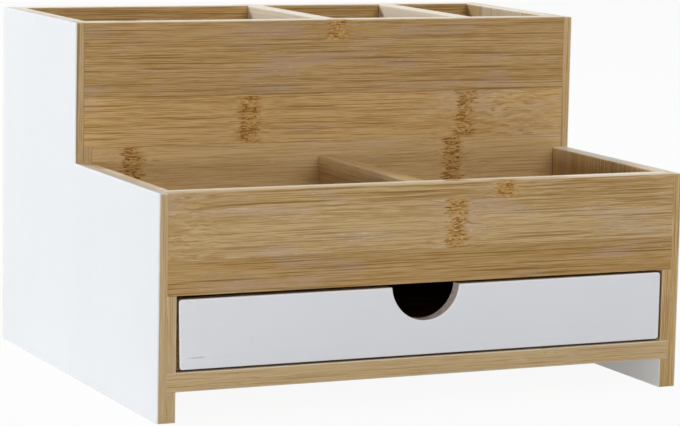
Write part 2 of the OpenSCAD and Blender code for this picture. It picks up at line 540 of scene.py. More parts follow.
def plan_layers(node, axes):
    """Strips of the two layers that a board is pressed from, front or low layer first."""
    low, high = (corner * TO_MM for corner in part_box(node))
    grain, across, _ = axes
    reach = (low[grain], high[grain])
    tone, _ = BOARD_TONES_AND_TOP_LIGHT[node]
    layers = []
    for layer in ("first", "second"):
        name = f"{node} {layer}"
        chance = random.Random(name)
        strips = list(SHOWN_STRIPS.get(name, ()))
        start = min((strip.low for strip in strips), default=high[across])
        end = max((strip.high for strip in strips), default=high[across])
        strips += lay_strips(chance, low[across], start, reach, tone)
        strips += lay_strips(chance, end, high[across], reach, tone)
        layers.append(close_ends(strips, low[across], high[across]))
    return layers


def write_vectors(mesh, name, values):
    """Stores one vector for each face under a name that the materials read."""
    store = mesh.attributes.new(name, "FLOAT_VECTOR", "FACE")
    store.data.foreach_set("vector", [number for value in values for number in value])


def mark_strips(board, node, axes):
    """Draws the glue lines on a board and writes each strip's look on its faces."""
    layers = plan_layers(node, axes)
    _, across, through = axes
    _, upper_edge_tone_and_light = BOARD_TONES_AND_TOP_LIGHT[node]
    low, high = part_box(node)
    middle = (low[through] + high[through]) / 2
    with editing(board):
        for seam in sorted({strip.high for layer in layers for strip in layer[:-1]}):
            slice_at(across, seam * MM)
        slice_at(through, middle)
        merge_close()
    spans, looks, knots = [], [], []
    for face in board.data.polygons:
        layer = 0 if face.center[through] < middle else 1
        place = face.center[across] * TO_MM
        strip = next(strip for strip in layers[layer] if strip.low <= place <= strip.high)
        sanding_and_top_light = SANDED_TONE if max(abs(part) for part in face.normal) < FLAT else 0.0
        ash = strip.ash
        # Faces that look up get the paler edge tone: partly sanded wood, partly a painted highlight of the
        # light from above
        if face.normal.z > FACING and upper_edge_tone_and_light:
            sanding_and_top_light = upper_edge_tone_and_light
            ash = EDGE_ASH.get(node, NO_ASH)[layer]
        spans.append((strip.low, strip.high, middle * TO_MM))
        looks.append((strip.tone + sanding_and_top_light, ash, strip.reach))
        shown_knots = (*strip.knots, *[NO_KNOT] * KNOTS_SHOWN)[:KNOTS_SHOWN]
        knots.append((*shown_knots, strip.fan))
    write_vectors(board.data, "strip_span", spans)
    write_vectors(board.data, "strip_look", looks)
    write_vectors(board.data, "strip_knots", knots)


# Node trees

# A figure in a surface: cells to the millimetre along and across the grain, detail and roughness of its
# noise, the noise at which its mask begins and at which it is full, and the mask's strength there
Figure = namedtuple(
    "Figure", "along across detail roughness begins full strength", defaults=(2.0, 0.5, 0.0, 1.0, 1.0)
)

# Figures of the bamboo, of the coat of paint and its hairline, of the veneer, the brads' wire and the floor
FIGURES = {
    "fray": Figure(0.08, 1.0),
    "sway": Figure(0.010, 0.07),
    "ripple": Figure(0.09, 0.24),
    "bundle": Figure(0.020, 2.3, 3.0, 0.5, 0.46, 0.37),
    "thread": Figure(0.10, 2.9, 2.0, 0.6),
    "band": Figure(0.006, 0.2),
    "flame": Figure(0.11, 0.8, 2.0, 0.5, 0.40, 0.60),
    "break": Figure(0.15, 1.0, 2.0, 0.5, 0.44, 0.34, 0.5),
    # Patches of painted sheen, and painted glints in them
    "sheen_patches": Figure(0.025, 0.10, 3.0, 0.5, 0.48, 0.6),
    "painted glint": Figure(0.3, 1.7, 2.0, 0.5, 0.61, 0.74, 0.3),
    "dash": Figure(0.17, 1.15, 1.0, 0.5, 0.51, 0.42, 0.8),
    "dot": Figure(0.5, 1.3, 1.0, 0.5, 0.39, 0.31, 0.85),
    "gold": Figure(0.5, 1.5, 2.0, 0.5, 0.54, 0.64, 0.7),
    "glue": Figure(0.03, 0.0, 1.0, 0.5, 0.6, 0.66),
    "coat fibre": Figure(0.011, 0.75, 3.0, 0.55),
    "coat stipple": Figure(1.1, 1.1),
    "coat cloud": Figure(0.011, 0.016),
    "hairline wander": Figure(0.1, 0.0),
    "hairline break": Figure(0.2, 0.0, 1.0),
    "veneer sway": Figure(0.012, 0.03),
    "veneer": Figure(0.004, 0.16, 3.0, 0.6, 0.38, 0.64),
    "pore": Figure(0.09, 3.2, 2.0, 0.5, 0.42, 0.26, 0.5),
    "wire": Figure(0.15, 9.0),
    "floor cloud": Figure(0.02, 0.02),
}

WHITE = (1.0, 1.0, 1.0, 1.0)
# The middle of the noise
MEAN_NOISE = 0.5


class Wire:
    """A node's output. Reckoning with it adds a Math node, or a Vector Math node if it isn't a number."""

    def __init__(self, socket):
        self.socket = socket
        self.tree = socket.id_data
        self.is_number = socket.type == "VALUE"

    def calc(self, operation, other=0.0):
        """The result of one such node."""
        if self.is_number:
            return add(self.tree, "ShaderNodeMath", {0: self, 1: other}, operation=operation)
        if isinstance(other, float):
            other = (other, other, other)
        return add(self.tree, "ShaderNodeVectorMath", {0: self, 1: other}, operation=operation)

    def __add__(self, other):
        return self.calc("ADD", other)

    def __sub__(self, other):
        return self.calc("SUBTRACT", other)

    def __mul__(self, other):
        return self.calc("MULTIPLY", other)

    def __truediv__(self, other):
        return self.calc("DIVIDE", other)


def put(tree, kind, values=None, **settings):
    """Adds a node. A value that is a wire is linked, and any other is set."""
    made = tree.nodes.new(kind)
    for name, value in settings.items():
        setattr(made, name, value)
    for key, value in (values or {}).items():
        if isinstance(value, Wire):
            tree.links.new(value.socket, made.inputs[key])
        else:
            made.inputs[key].default_value = value
    return made


def add(tree, kind, values=None, output=0, **settings):
    """Adds a node and gives one of its outputs."""
    return Wire(put(tree, kind, values, **settings).outputs[output])


def step(value, low, high, start=0.0, end=1.0):
    """A smooth step from start to end as a value goes from low to high."""
    numbers = {"Value": value, "From Min": low, "From Max": high, "To Min": start, "To Max": end}
    return add(value.tree, "ShaderNodeMapRange", numbers, interpolation_type="SMOOTHSTEP")


# Places of a Mix node's sockets, whose names repeat: the factor, two values, two colours and the mixed colour
FACTOR, FIRST_VALUE, SECOND_VALUE, FIRST_COLOUR, SECOND_COLOUR = 0, 2, 3, 6, 7
MIXED_COLOUR = 2


def blend(factor, first, second, mode="MIX"):
    """Two colours mixed by a factor."""
    values = {FACTOR: factor, FIRST_COLOUR: first, SECOND_COLOUR: second}
    return add(factor.tree, "ShaderNodeMix", values, MIXED_COLOUR, data_type="RGBA", blend_type=mode)


def blend_value(factor, first, second):
    """Two values mixed by a factor."""
    return add(factor.tree, "ShaderNodeMix", {FACTOR: factor, FIRST_VALUE: first, SECOND_VALUE: second})


def split(vector):
    """The three parts of a vector."""
    return [Wire(part) for part in put(vector.tree, "ShaderNodeSeparateXYZ", {"Vector": vector}).outputs]


def join(tree, *parts):
    """A vector of three parts."""
    return add(tree, "ShaderNodeCombineXYZ", dict(enumerate(parts)))


def noise(place, name):
    """The noise of a figure."""
    figure = FIGURES[name]
    spread = place * (figure.along, figure.across, figure.across)
    values = {"Vector": spread, "Scale": 1.0, "Detail": figure.detail, "Roughness": figure.roughness}
    return add(place.tree, "ShaderNodeTexNoise", values)


def mask(value, name):
    """Where a figure shows, from its noise."""
    figure = FIGURES[name]
    return step(value, figure.begins, figure.full, 0.0, figure.strength)


def shown(place, name):
    """Where a figure shows."""
    return mask(noise(place, name), name)


def specks(place, cells):
    """Distance from the nearest of many scattered points, so many to the millimetre."""
    return add(place.tree, "ShaderNodeTexVoronoi", {"Vector": place * cells, "Scale": 1.0}, "Distance")


def fade(distance, reach):
    """A bell that is 1 at no distance and has all but gone at twice the reach."""
    share = distance / reach
    return (share * share * -1.0).calc("EXPONENT")


# What the group of every finish puts out
SURFACE = {"Colour": "Color", "Roughness": "Float", "Height": "Float"}


def new_group(name, vectors, tints):
    """A node group that takes vectors and tints and is to put out a surface, and its inputs by name."""
    group = bpy.data.node_groups.new(name, "ShaderNodeTree")
    taken = dict.fromkeys(vectors, "Vector") | dict.fromkeys(tints, "Color")
    for direction, sockets in (("INPUT", taken), ("OUTPUT", SURFACE)):
        for socket, kind in sockets.items():
            group.interface.new_socket(socket, in_out=direction, socket_type="NodeSocket" + kind)
    return group, {socket.name: Wire(socket) for socket in put(group, "NodeGroupInput").outputs}


BAMBOO_TINTS = ("Pale", "Deep", "Streak", "Ochre", "Rust", "Knot", "Ash", "Haze", "Glue", "Blond", "Cream")

# How far apart the stretches of cane lie that the strips are cut from, in millimetres
CANE_SPREAD = 900.0
# Two edges of a knot along the grain, each from outside, and how far the noise moves them, in millimetres
SHARP_EDGE = (-5.4, -3.8)
SOFT_EDGE = (6.4, 2.4)
FRAYING = 11.0
# How far from a knot the fibres are stirred, and how much, and how far stirred and plain fibres stray, with
# the lengths in millimetres
STIR_REACH = 18.0
STIR_AT_KNOT = 0.7
WOVEN_STRAY = 4.0
SWAY_STRAY = 0.45
# Shares of the noises that make up the fibres, the sums that are deep and pale, and the share of flames
THREAD_SHARE = 0.46
BUNDLE_SHARE = 0.32
BAND_SHARE = 0.26
FIBRE_LEVELS = (0.44, 0.60)
FLAME_SHARE = 0.6
# Tones with the faintest and the strongest streaks, and how strong the streaks are there
STREAK_TONES = (1.6, -1.2, 0.1, 1.0)
# Noise at which a milky patch of painted sheen begins and is full, and tones with the faintest and the
# strongest patches, with their strengths
SHEEN_LEVELS = (0.52, 0.68)
SHEEN_TONES = (0.0, -0.6, 0.4, 0.7)
# Tones at which a colour comes in and at which it is full, and its share then
TONE_TINTS = {"Blond": (0.0, 0.8, 0.75), "Cream": (0.5, 1.2, 0.95), "Streak": (0.0, -1.0, 0.4)}
# Share of ochre in a knot
OCHRE_SHARE = 0.6
# Sides of a glue line in millimetres, from outside, and its strength by the noise of the glue
GLUE_SIDES = (0.25, 0.1)
GLUE_STRENGTH = (0.35, 0.65, 0.1, 0.45)
# Depth of glue lines and of dark dots, where the fibres have 1
SEAM_DEPTH = 0.8
DOT_DEPTH = 0.4
# Roughness of deep fibre, and what dark dots and pale fibre add to it
FIBRE_ROUGHNESS = 0.38
DOT_ROUGHNESS = 0.2
PALE_ROUGHNESS = -0.10


def bamboo_group():
    """Colour, roughness and height of glued bamboo strips, from places in millimetres along the grain."""
    tree, given = new_group("Bamboo strips", ("Place", "Span", "Look", "Knots"), BAMBOO_TINTS)
    along, across, through = split(given["Place"])
    tone, ash, reach = split(given["Look"])
    first_knot, second_knot, fan = split(given["Knots"])

    # Each strip is cut from its own stretch of cane
    chance = add(tree, "ShaderNodeTexWhiteNoise", {"Vector": given["Span"]}, "Color")
    own = given["Place"] + chance * CANE_SPREAD

    # A knot has one sharp edge and one soft edge, both frayed, and the fibres stir round it
    ragged = noise(own, "fray") * FRAYING - FRAYING / 2
    stir = fade(along - fan, reach)
    cores = []
    for knot in (first_knot, second_knot):
        gap = along - knot
        frayed = ragged + gap
        cores.append(step(frayed, *SHARP_EDGE) * step(frayed, *SOFT_EDGE))
        stir = stir.calc("MAXIMUM", fade(gap, STIR_REACH) * STIR_AT_KNOT)
    at_knot = cores[0].calc("MAXIMUM", cores[1])

    # Fibres sway over the length of a strip and weave where they are stirred
    sway = noise(own, "sway") - MEAN_NOISE
    ripple = noise(own, "ripple") - MEAN_NOISE
    bent = own + join(tree, 0.0, sway * SWAY_STRAY + ripple * (stir * WOVEN_STRAY), 0.0)

    # Fibre bundles, finer threads and broad bands, and the flames of woven wood
    bundle = noise(bent, "bundle")
    body = bundle * BUNDLE_SHARE + noise(bent, "thread") * THREAD_SHARE + noise(bent, "band") * BAND_SHARE
    level = step(body, *FIBRE_LEVELS)
    level = blend_value(stir * FLAME_SHARE, level, shown(bent, "flame"))
    dark = mask(bundle, "bundle") * step(tone, *STREAK_TONES)
    dark = blend_value(stir, dark, shown(bent, "break"))
    wood = blend(level, given["Deep"], given["Pale"])

    # Milky patches of painted sheen, painted glints in them, and strips that are paler or deeper than the
    # rest
    sheen_patches = noise(own, "sheen_patches")
    haze = step(sheen_patches, *SHEEN_LEVELS, 0.0, step(tone, *SHEEN_TONES))
    wood = blend(haze, wood, given["Haze"])
    wood = blend(shown(own, "painted glint") * mask(sheen_patches, "sheen_patches"), wood, given["Cream"])
    for tint, (begins, full, share) in TONE_TINTS.items():
        wood = blend(step(tone, begins, full, 0.0, share), wood, given[tint])
    wood = blend(dark, wood, given["Streak"])
    wood = blend(ash, wood, given["Ash"], "MULTIPLY")

    # A knot is a crowd of rusty dashes and dark dots on ochre wood, with golden dots between them
    stain = at_knot * shown(own, "dot")
    wood = blend(at_knot * OCHRE_SHARE, wood, given["Ochre"])
    wood = blend(at_knot * shown(bent, "dash"), wood, given["Rust"])
    wood = blend(at_knot * shown(bent, "gold"), wood, given["Pale"])
    wood = blend(stain, wood, given["Knot"])

    # Glue lines between the strips and between the two layers
    low, high, middle = split(given["Span"])
    edge = (across - low).calc("MINIMUM", high - across)
    depth = (through - middle).calc("ABSOLUTE")
    glued = noise(own, "glue")
    seam = step(edge.calc("MINIMUM", depth), *GLUE_SIDES, 0.0, step(glued, *GLUE_STRENGTH))
    joint = blend(mask(glued, "glue"), given["Glue"], given["Cream"])

    # Glue lines and dark dots lie deeper, and pale fibre is the smoothest
    surface = {
        "Colour": blend(seam, wood, joint),
        "Roughness": level * PALE_ROUGHNESS + (stain * DOT_ROUGHNESS + FIBRE_ROUGHNESS),
        "Height": level - (seam * SEAM_DEPTH + stain * DOT_DEPTH),
    }
    put(tree, "NodeGroupOutput", surface)
    return tree


# The coat's usual shade, and the shares of the cloud and the fibre in it
COAT_SHADE = 0.99
CLOUD_SHARE = 0.05
COAT_FIBRE_SHARE = 0.04
# Paler paint on an arris, a painted highlight, and its share there
ARRIS_HIGHLIGHT_PAINT = (0.97, 0.95, 0.93, 1.0)
ARRIS_HIGHLIGHT_SHARE = 0.8
# Specks of dust to the millimetre, and the distances where one begins and is full, with its strengths
DUST_CELLS = 0.11
DUST_SPECK = (0.035, 0.012, 0.0, 0.35)
# Noise of the fibre where thin paint lets least and most of the dark wood through, and the shares there; that
# dark wood partly paints shade
BARE_FIBRE = (0.3, 0.7, 0.5, 1.0)
# Depth of the fibre and of the stipple in the coat, and its roughness with what the stipple adds
COAT_FIBRE_DEPTH = 0.7
STIPPLE_DEPTH = 0.3
COAT_ROUGHNESS = 0.36
STIPPLE_ROUGHNESS = 0.16


def paint_group():
    """Colour, roughness and height of rolled paint, showing dark bare wood on cut edges, partly as painted
    shade, and a painted highlight along the arrises.
    """
    tree, given = new_group("Rolled paint", ("Place", "Wear"), ("Paint", "Wood", "Grime"))
    bare_wood_and_shade, arris_highlight, _ = split(given["Wear"])
    place = given["Place"]
    fibre = noise(place, "coat fibre")
    stipple = noise(place, "coat stipple")
    cloud = noise(place, "coat cloud")
    dust = step(specks(place, DUST_CELLS), *DUST_SPECK)
    shade = (cloud - MEAN_NOISE) * CLOUD_SHARE + (fibre - MEAN_NOISE) * COAT_FIBRE_SHARE + COAT_SHADE
    coat = blend(arris_highlight * ARRIS_HIGHLIGHT_SHARE, given["Paint"] * shade, ARRIS_HIGHLIGHT_PAINT)
    # Dark bare wood on cut faces: partly thin paint, partly painted shade in the gaps and the notch
    coat = blend(bare_wood_and_shade * step(fibre, *BARE_FIBRE), coat, given["Wood"])
    surface = {
        "Colour": blend(dust, coat, given["Grime"]),
        "Roughness": stipple * STIPPLE_ROUGHNESS + COAT_ROUGHNESS,
        "Height": fibre * COAT_FIBRE_DEPTH + stipple * STIPPLE_DEPTH,
    }
    put(tree, "NodeGroupOutput", surface)
    return tree


# How far a hairline wanders and over what length its ends fade, in millimetres, the share of its width
# that is full, and its strengths by the noise that breaks it
HAIRLINE_WANDER = 0.8
HAIRLINE_FADE = 2.0
HAIRLINE_CORE = 0.3
HAIRLINE_BREAKS = (0.3, 0.6, 0.1, 0.6)


def scratch(place, start, end, across, width):
    """Mask of a hairline that runs along the grain from start to end, fainter here and there."""
    along, height, _ = split(place)
    middle = noise(place, "hairline wander") * HAIRLINE_WANDER + (across - HAIRLINE_WANDER / 2)
    line = step((height - middle).calc("ABSOLUTE"), width, HAIRLINE_CORE * width)
    ends = step(along, start, start + HAIRLINE_FADE) * step(along, end, end - HAIRLINE_FADE)
    return line * ends * step(noise(place, "hairline break"), *HAIRLINE_BREAKS)


def shared_group(maker, name):
    """The named node group, made at its first use."""
    return bpy.data.node_groups.get(name) or maker()


def begin_material(name, values=None):
    """A material with a Principled BSDF that has some values set, and its node tree."""
    material = bpy.data.materials.new(name)
    material.use_nodes = True
    tree = material.node_tree
    tree.nodes.clear()
    shader = put(tree, "ShaderNodeBsdfPrincipled", values)
    put(tree, "ShaderNodeOutputMaterial", {"Surface": Wire(shader.outputs[0])})
    return material, tree, shader


def grain_place(tree, axes):
    """Object coordinates in millimetres, along, across and through the grain."""
    parts = split(add(tree, "ShaderNodeTexCoord", output="Object") * TO_MM)
    return join(tree, *(parts[axis] for axis in axes))


def read_vectors(tree, name):
    """The vectors that a mesh has stored under a name."""
    return add(tree, "ShaderNodeAttribute", output="Vector", attribute_name=name)


def finish_shader(shader, base, roughness, height, relief):
    """Gives a shader its colour and roughness, and lets a height stand out by a strength and a distance."""
    tree = base.tree
    strength, distance = relief
    bump = add(tree, "ShaderNodeBump", {"Height": height, "Strength": strength, "Distance": distance})
    for name, value in (("Base Color", base), ("Roughness", roughness), ("Normal", bump)):
        tree.links.new(value.socket, shader.inputs[name])


def opaque(rgb):
    """A colour with full alpha."""
    return (*rgb, 1.0)


def shaded(rgb, shares):
    """A colour with each part times its share, and full alpha."""
    return opaque(part * share for part, share in zip(rgb, shares))


# Strength and depth in metres of each finish's relief
BAMBOO_RELIEF = (0.35, 0.12 * MM)
PAINT_RELIEF = (0.25, 0.08 * MM)
PLY_RELIEF = (0.3, 0.1 * MM)
STEEL_RELIEF = (0.2, 0.03 * MM)
# Gloss of the lacquer on the bamboo
LACQUER = {"Specular IOR Level": 0.12, "Coat Weight": 0.06, "Coat Roughness": 0.2}
# How far the veneer's figure strays, in millimetres, and the shares of its colour in late wood
VENEER_STRAY = 60.0
LATE_WOOD = (0.72, 0.64, 0.55)
# Roughness by the noise of the pores in the veneer and of the lines in the wire
PORE_GLOSS = (0.2, 0.7, 0.68, 0.52)
LINE_GLOSS = (0.3, 0.7, 0.45, 0.28)
# Shares of the steel's colour in its dull lines
DULL_STEEL = (0.7, 0.7, 0.7)


def bamboo_material(axes):
    """Lacquered bamboo board whose grain runs along the first axis."""
    name = "Bamboo, " + BOARD_KINDS[axes]
    if name in bpy.data.materials:
        return bpy.data.materials[name]
    material, tree, shader = begin_material(name, LACQUER)
    values = {tint: opaque(getattr(colours(), tint.lower())) for tint in BAMBOO_TINTS}
    values["Place"] = grain_place(tree, axes)
    for look in ("Span", "Look", "Knots"):
        values[look] = read_vectors(tree, "strip_" + look.lower())
    group = put(tree, "ShaderNodeGroup", values, node_tree=shared_group(bamboo_group, "Bamboo strips"))
    finish_shader(shader, *map(Wire, group.outputs), BAMBOO_RELIEF)
    return material


def paint_material(name, axes, tint, marks=()):
    """Rolled satin paint over bamboo, with hairline scratches."""
    if name in bpy.data.materials:
        return bpy.data.materials[name]
    material, tree, shader = begin_material(name)
    grime = opaque(colours().grime)
    # The bare wood is the darkest streak colour, which also serves as painted shade
    values = {"Paint": opaque(tint), "Wood": opaque(colours().streak), "Grime": grime}
    values["Place"] = grain_place(tree, axes)
    values["Wear"] = read_vectors(tree, "paint_wear")
    group = put(tree, "ShaderNodeGroup", values, node_tree=shared_group(paint_group, "Rolled paint"))
    coat, roughness, height = map(Wire, group.outputs)
    for mark in marks:
        coat = blend(scratch(values["Place"], *mark), coat, grime)
    finish_shader(shader, coat, roughness, height, PAINT_RELIEF)
    return material


def ply_material():
    """Rotary-cut veneer of the drawer's bottom panel."""
    material, tree, shader = begin_material("Drawer plywood")
    place = grain_place(tree, LYING_BOARD)
    bent = place + join(tree, 0.0, noise(place, "veneer sway") * VENEER_STRAY, 0.0)
    pore = noise(bent, "pore")
    late = shaded(colours().ply, LATE_WOOD)
    veneer = blend(shown(bent, "veneer"), late, opaque(colours().ply))
    veneer = blend(mask(pore, "pore"), veneer, late)
    finish_shader(shader, veneer, step(pore, *PORE_GLOSS), pore, PLY_RELIEF)
    return material


def steel_material():
    """Drawn steel wire with faint lines along it."""
    material, tree, shader = begin_material("Brad steel", {"Metallic": 1.0})
    line = noise(grain_place(tree, LYING_BOARD), "wire")
    steel = blend(line, shaded(colours().steel, DULL_STEEL), opaque(colours().steel))
    finish_shader(shader, steel, step(line, *LINE_GLOSS), line, STEEL_RELIEF)
    return material


# Pieces

def dress(piece, node, slot, *materials):
    """Gives a finished piece its materials and lets it stand for its CAD node."""
    for material in materials:
        piece.data.materials.append(material)
    smooth(piece)
    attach(piece, frame["nodes"][node]["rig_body"])
    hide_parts(node)


# Material slot of the paint on a side board
PAINT_SLOT = 1


def paint_faces(board, wanted):
    """Paints the faces of a side board that the test wants."""
    for face in board.data.polygons:
        if wanted(face):
            face.material_index = PAINT_SLOT


def side_paint():
    """White paint of the sides and of the plugs in them."""
    return paint_material("Side paint", UPRIGHT_SIDE, colours().side_paint)


def brad_seats():
    """Depth and height of the two brads on each side of the case."""
    low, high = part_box("brad_fillers")
    radius = sizes().brad_head / 2
    return [(low.y + radius, low.z + radius), (high.y - radius, high.z - radius)]


def drill_brads(board, side):
    """Drills a board for the brads that come in from one side."""
    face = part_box("brad_fillers")[1].x
    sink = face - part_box("brads")[1].x
    drills = (
        (sizes().brad_head, sink + sizes().brad_head_depth),
        (sizes().brad_shank, sink + sizes().brad_length),
    )
    for y, z in brad_seats():
        for width, depth in drills:
            outside = Vector((side * (face + PAST_FACE), y, z))
            inside = Vector((side * (face - depth), y, z))
            cut_away(board, begin_rod("drill", outside, inside, width / 2, BRAD_SIDES))


def grown(node, low_by, high_by):
    """A CAD node's box, moved outwards by so many millimetres at its corners."""
    low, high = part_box(node)
    return low - Vector(low_by) * MM, high + Vector(high_by) * MM


def housings(stop):
    """Boxes of the boards that are let into the sides, grown where the cut runs out of a side."""
    upper_low, upper_high = grown("upper_front_panel", (0, 1, 0), (0, 0, 1))
    upper_low.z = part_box("lower_front_panel")[1].z + stop
    return [
        grown("bottom_board", (0, 1, 0), (0, 1, 0)),
        grown("compartment_floor", (0, 1, 0), (0, 1, 0)),
        grown("lower_front_panel", (0, 1, 0), (0, 0, 1)),
        grown("back_panel", (0, 0, 0), (0, 1, 1)),
        (upper_low, upper_high),
    ]


def model_side(name, node, side, stop):
    """Cuts a stepped side board, houses the other boards in it and eases its edges."""
    low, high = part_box(node)
    step_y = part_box("upper_front_panel")[0].y
    tier_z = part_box("lower_front_panel")[1].z
    foot_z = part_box("bottom_board")[0].z
    board = begin_block(name, low, Vector((high.x, high.y, tier_z)))
    with editing(board):
        slice_at(Y, step_y)
        select_faces(board, lambda face: face.normal.z > FACING and face.calc_center_median().y > step_y)
        bpy.ops.mesh.extrude_region_move(TRANSFORM_OT_translate={"value": (0, 0, high.z - tier_z)})
    cuts = housings(stop)
    for cut_low, cut_high in cuts:
        cut_block(board, cut_low, cut_high)
    ease_board(board, lambda middle: not any(within(*cut, middle) for cut in cuts))
    drill_brads(board, side)
    mark_strips(board, node, UPRIGHT_SIDE)
    outer = max(side * low.x, side * high.x)
    dress(board, node, "painted_side", bamboo_material(UPRIGHT_SIDE), side_paint())
    paint_faces(board, lambda face: side * face.center.x > outer - sizes().arris)
    paint_faces(board, lambda face: face.center.z < foot_z and side * face.normal.x < -TURNED)


class ORGANIZER_OT_side_boards(bpy.types.Operator):
    """Cut, house, drill and paint the two stepped side boards"""

    bl_idname = "organizer.side_boards"
    bl_label = "Side Boards"

    def execute(self, context):
        model_side("left_side_board", "left_side_panel", LEFT, sizes().left_stop)
        model_side("right_side_board", "right_side_panel", RIGHT, sizes().right_stop)
        return {"FINISHED"}


def edges_along(node, axes, *faces):
    """A test for the edges along a board's grain that lie on some of its faces."""
    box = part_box(node)
    low, high = box
    grain = axes[0]

    def wanted(middle):
        on_face = any(abs(middle[axis] - box[end][axis]) < SAME_PLANE for axis, end in faces)
        return on_face and low[grain] + NEAR_FACE < middle[grain] < high[grain] - NEAR_FACE

    return wanted


def finish_board(board, node, axes, slot, *eased, drilled=()):
    """Eases a board on some of its faces, drills its ends, marks its strips and dresses it."""
    ease_board(board, edges_along(node, axes, *eased))
    for side in drilled:
        drill_brads(board, side)
    mark_strips(board, node, axes)
    dress(board, node, slot, bamboo_material(axes))


def plain_board(name, node, axes, *eased, drilled=()):
    """A straight board of the case."""
    board = begin_block(name, *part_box(node))
    finish_board(board, node, axes, "bamboo", *eased, drilled=drilled)


class ORGANIZER_OT_front_panels(bpy.types.Operator):
    """Make the two front panels, the upper one wide above the stops of its rabbets"""

    bl_idname = "organizer.front_panels"
    bl_label = "Front Panels"

    def execute(self, context):
        node = "upper_front_panel"
        low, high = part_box(node)
        tier_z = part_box("lower_front_panel")[1].z
        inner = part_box("left_side_panel")[1].x
        narrow_low = Vector((inner, low.y, low.z))
        narrow_high = Vector((-inner, high.y, high.z))
        upper = begin_block("upper_front_board", narrow_low, narrow_high)
        with editing(upper):
            for side, stop in ((LEFT, sizes().left_stop), (RIGHT, sizes().right_stop)):
                stop_z = tier_z + stop
                slice_at(Z, stop_z)
                select_faces(
                    upper,
                    lambda face: side * face.normal.x > FACING and face.calc_center_median().z > stop_z,
                )
                move = (side * (high.x + inner), 0, 0)
                bpy.ops.mesh.extrude_region_move(TRANSFORM_OT_translate={"value": move})
        ends = (LEFT, RIGHT)
        finish_board(upper, node, STANDING_PANEL, "bamboo", TOP, drilled=ends)
        plain_board("lower_front_board", "lower_front_panel", STANDING_PANEL, TOP, FRONT, drilled=ends)
        return {"FINISHED"}


class ORGANIZER_OT_case_boards(bpy.types.Operator):
    """Make the back panel, the compartment floor and the bottom board"""

    bl_idname = "organizer.case_boards"
    bl_label = "Back and Floors"

    def execute(self, context):
        plain_board("back_board", "back_panel", STANDING_PANEL, TOP)
        plain_board("compartment_floor_board", "compartment_floor", LYING_BOARD)
        plain_board("bottom_board_under_drawer", "bottom_board", LYING_BOARD, FRONT)
        return {"FINISHED"}


class ORGANIZER_OT_dividers(bpy.types.Operator):
    """Make the three upright dividers between the compartments"""

    bl_idname = "organizer.dividers"
    bl_label = "Dividers"

    def execute(self, context):
        for node in ("front_divider", "rear_divider_left", "rear_divider_right"):
            plain_board(node + "_board", node, DEEP_DIVIDER, TOP)
        return {"FINISHED"}


# Hairline on the drawer front: start, end, height and width in millimetres
DRAWER_SCRATCH = (-108.0, -98.5, 26.2, 0.4)
# How much dark bare wood shows through thin paint on the cut faces of the drawer front, and in its notch; the
# dark wood is partly bare wood and partly painted shade in the gaps round the drawer and in the notch
CUT_BARE_AND_SHADE = 1.0
NOTCH_BARE_AND_SHADE = 0.7


class ORGANIZER_OT_drawer_front(bpy.types.Operator):
    """Make the painted drawer front with its finger notch"""

    bl_idname = "organizer.drawer_front"
    bl_label = "Drawer Front"

    def execute(self, context):
        node = "drawer_front"
        low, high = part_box(node)
        front = begin_block("drawer_front_board", low + Vector((0, 0, sizes().drawer_lift)), high)
        left = low.x + NEAR_FACE
        with editing(front):
            select_edges(front, lambda middle: middle.x < left and middle.z < low.z + NEAR_FACE)
            bpy.ops.transform.translate(value=(sizes().drawer_trim, 0, 0))
            select_edges(front, lambda middle: middle.x < left and middle.z > high.z - NEAR_FACE)
            bpy.ops.transform.translate(value=(0, 0, -sizes().drawer_drop))
        ease_edges(
            front,
            sizes().drawer_corner,
            DRAWER_SEGMENTS,
            lambda middle: low.y + NEAR_FACE < middle.y < high.y - NEAR_FACE,
        )
        near = Vector((sizes().notch_x, low.y - PAST_FACE, high.z + sizes().notch_rise))
        far = Vector((near.x, high.y + PAST_FACE, near.z))
        cut_away(front, begin_rod("notch", near, far, sizes().notch_radius, NOTCH_SIDES))
        cut_block(front, *grown("drawer_side_left", (1, 0, 1), (0, 0, 0)))
        cut_block(front, *grown("drawer_side_right", (0, 0, 1), (1, 0, 0)))
        groove_low, groove_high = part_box("drawer_bottom")
        groove_low.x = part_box("drawer_side_left")[1].x
        groove_high.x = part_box("drawer_side_right")[0].x
        cut_block(front, groove_low, groove_high)
        arris = sizes().drawer_arris
        ease_edges(front, arris, DRAWER_SEGMENTS, lambda middle: abs(middle.y - low.y) < SAME_PLANE)
        ease_joints(front)
        with editing(front):
            merge_close()
        shade_and_highlight_marks = []
        for face in front.data.polygons:
            frontal = abs(face.normal.y)
            rounded = face.center.y < low.y + arris and frontal < FLAT
            in_notch = (face.center.xz - near.xz).length < sizes().notch_radius + arris
            cut_bare_and_shade = NOTCH_BARE_AND_SHADE if in_notch else CUT_BARE_AND_SHADE
            # Cut faces show dark bare wood, partly painted shade in the gaps; rounded faces get the painted
            # highlight
            bare_wood_and_shade = cut_bare_and_shade if frontal < SIDEWAYS and not rounded else 0.0
            shade_and_highlight_marks.append((bare_wood_and_shade, float(rounded), 0.0))
        write_vectors(front.data, "paint_wear", shade_and_highlight_marks)
        paint = paint_material("Drawer paint", STANDING_PANEL, colours().drawer_paint, (DRAWER_SCRATCH,))
        dress(front, node, "painted_drawer", paint)
        return {"FINISHED"}


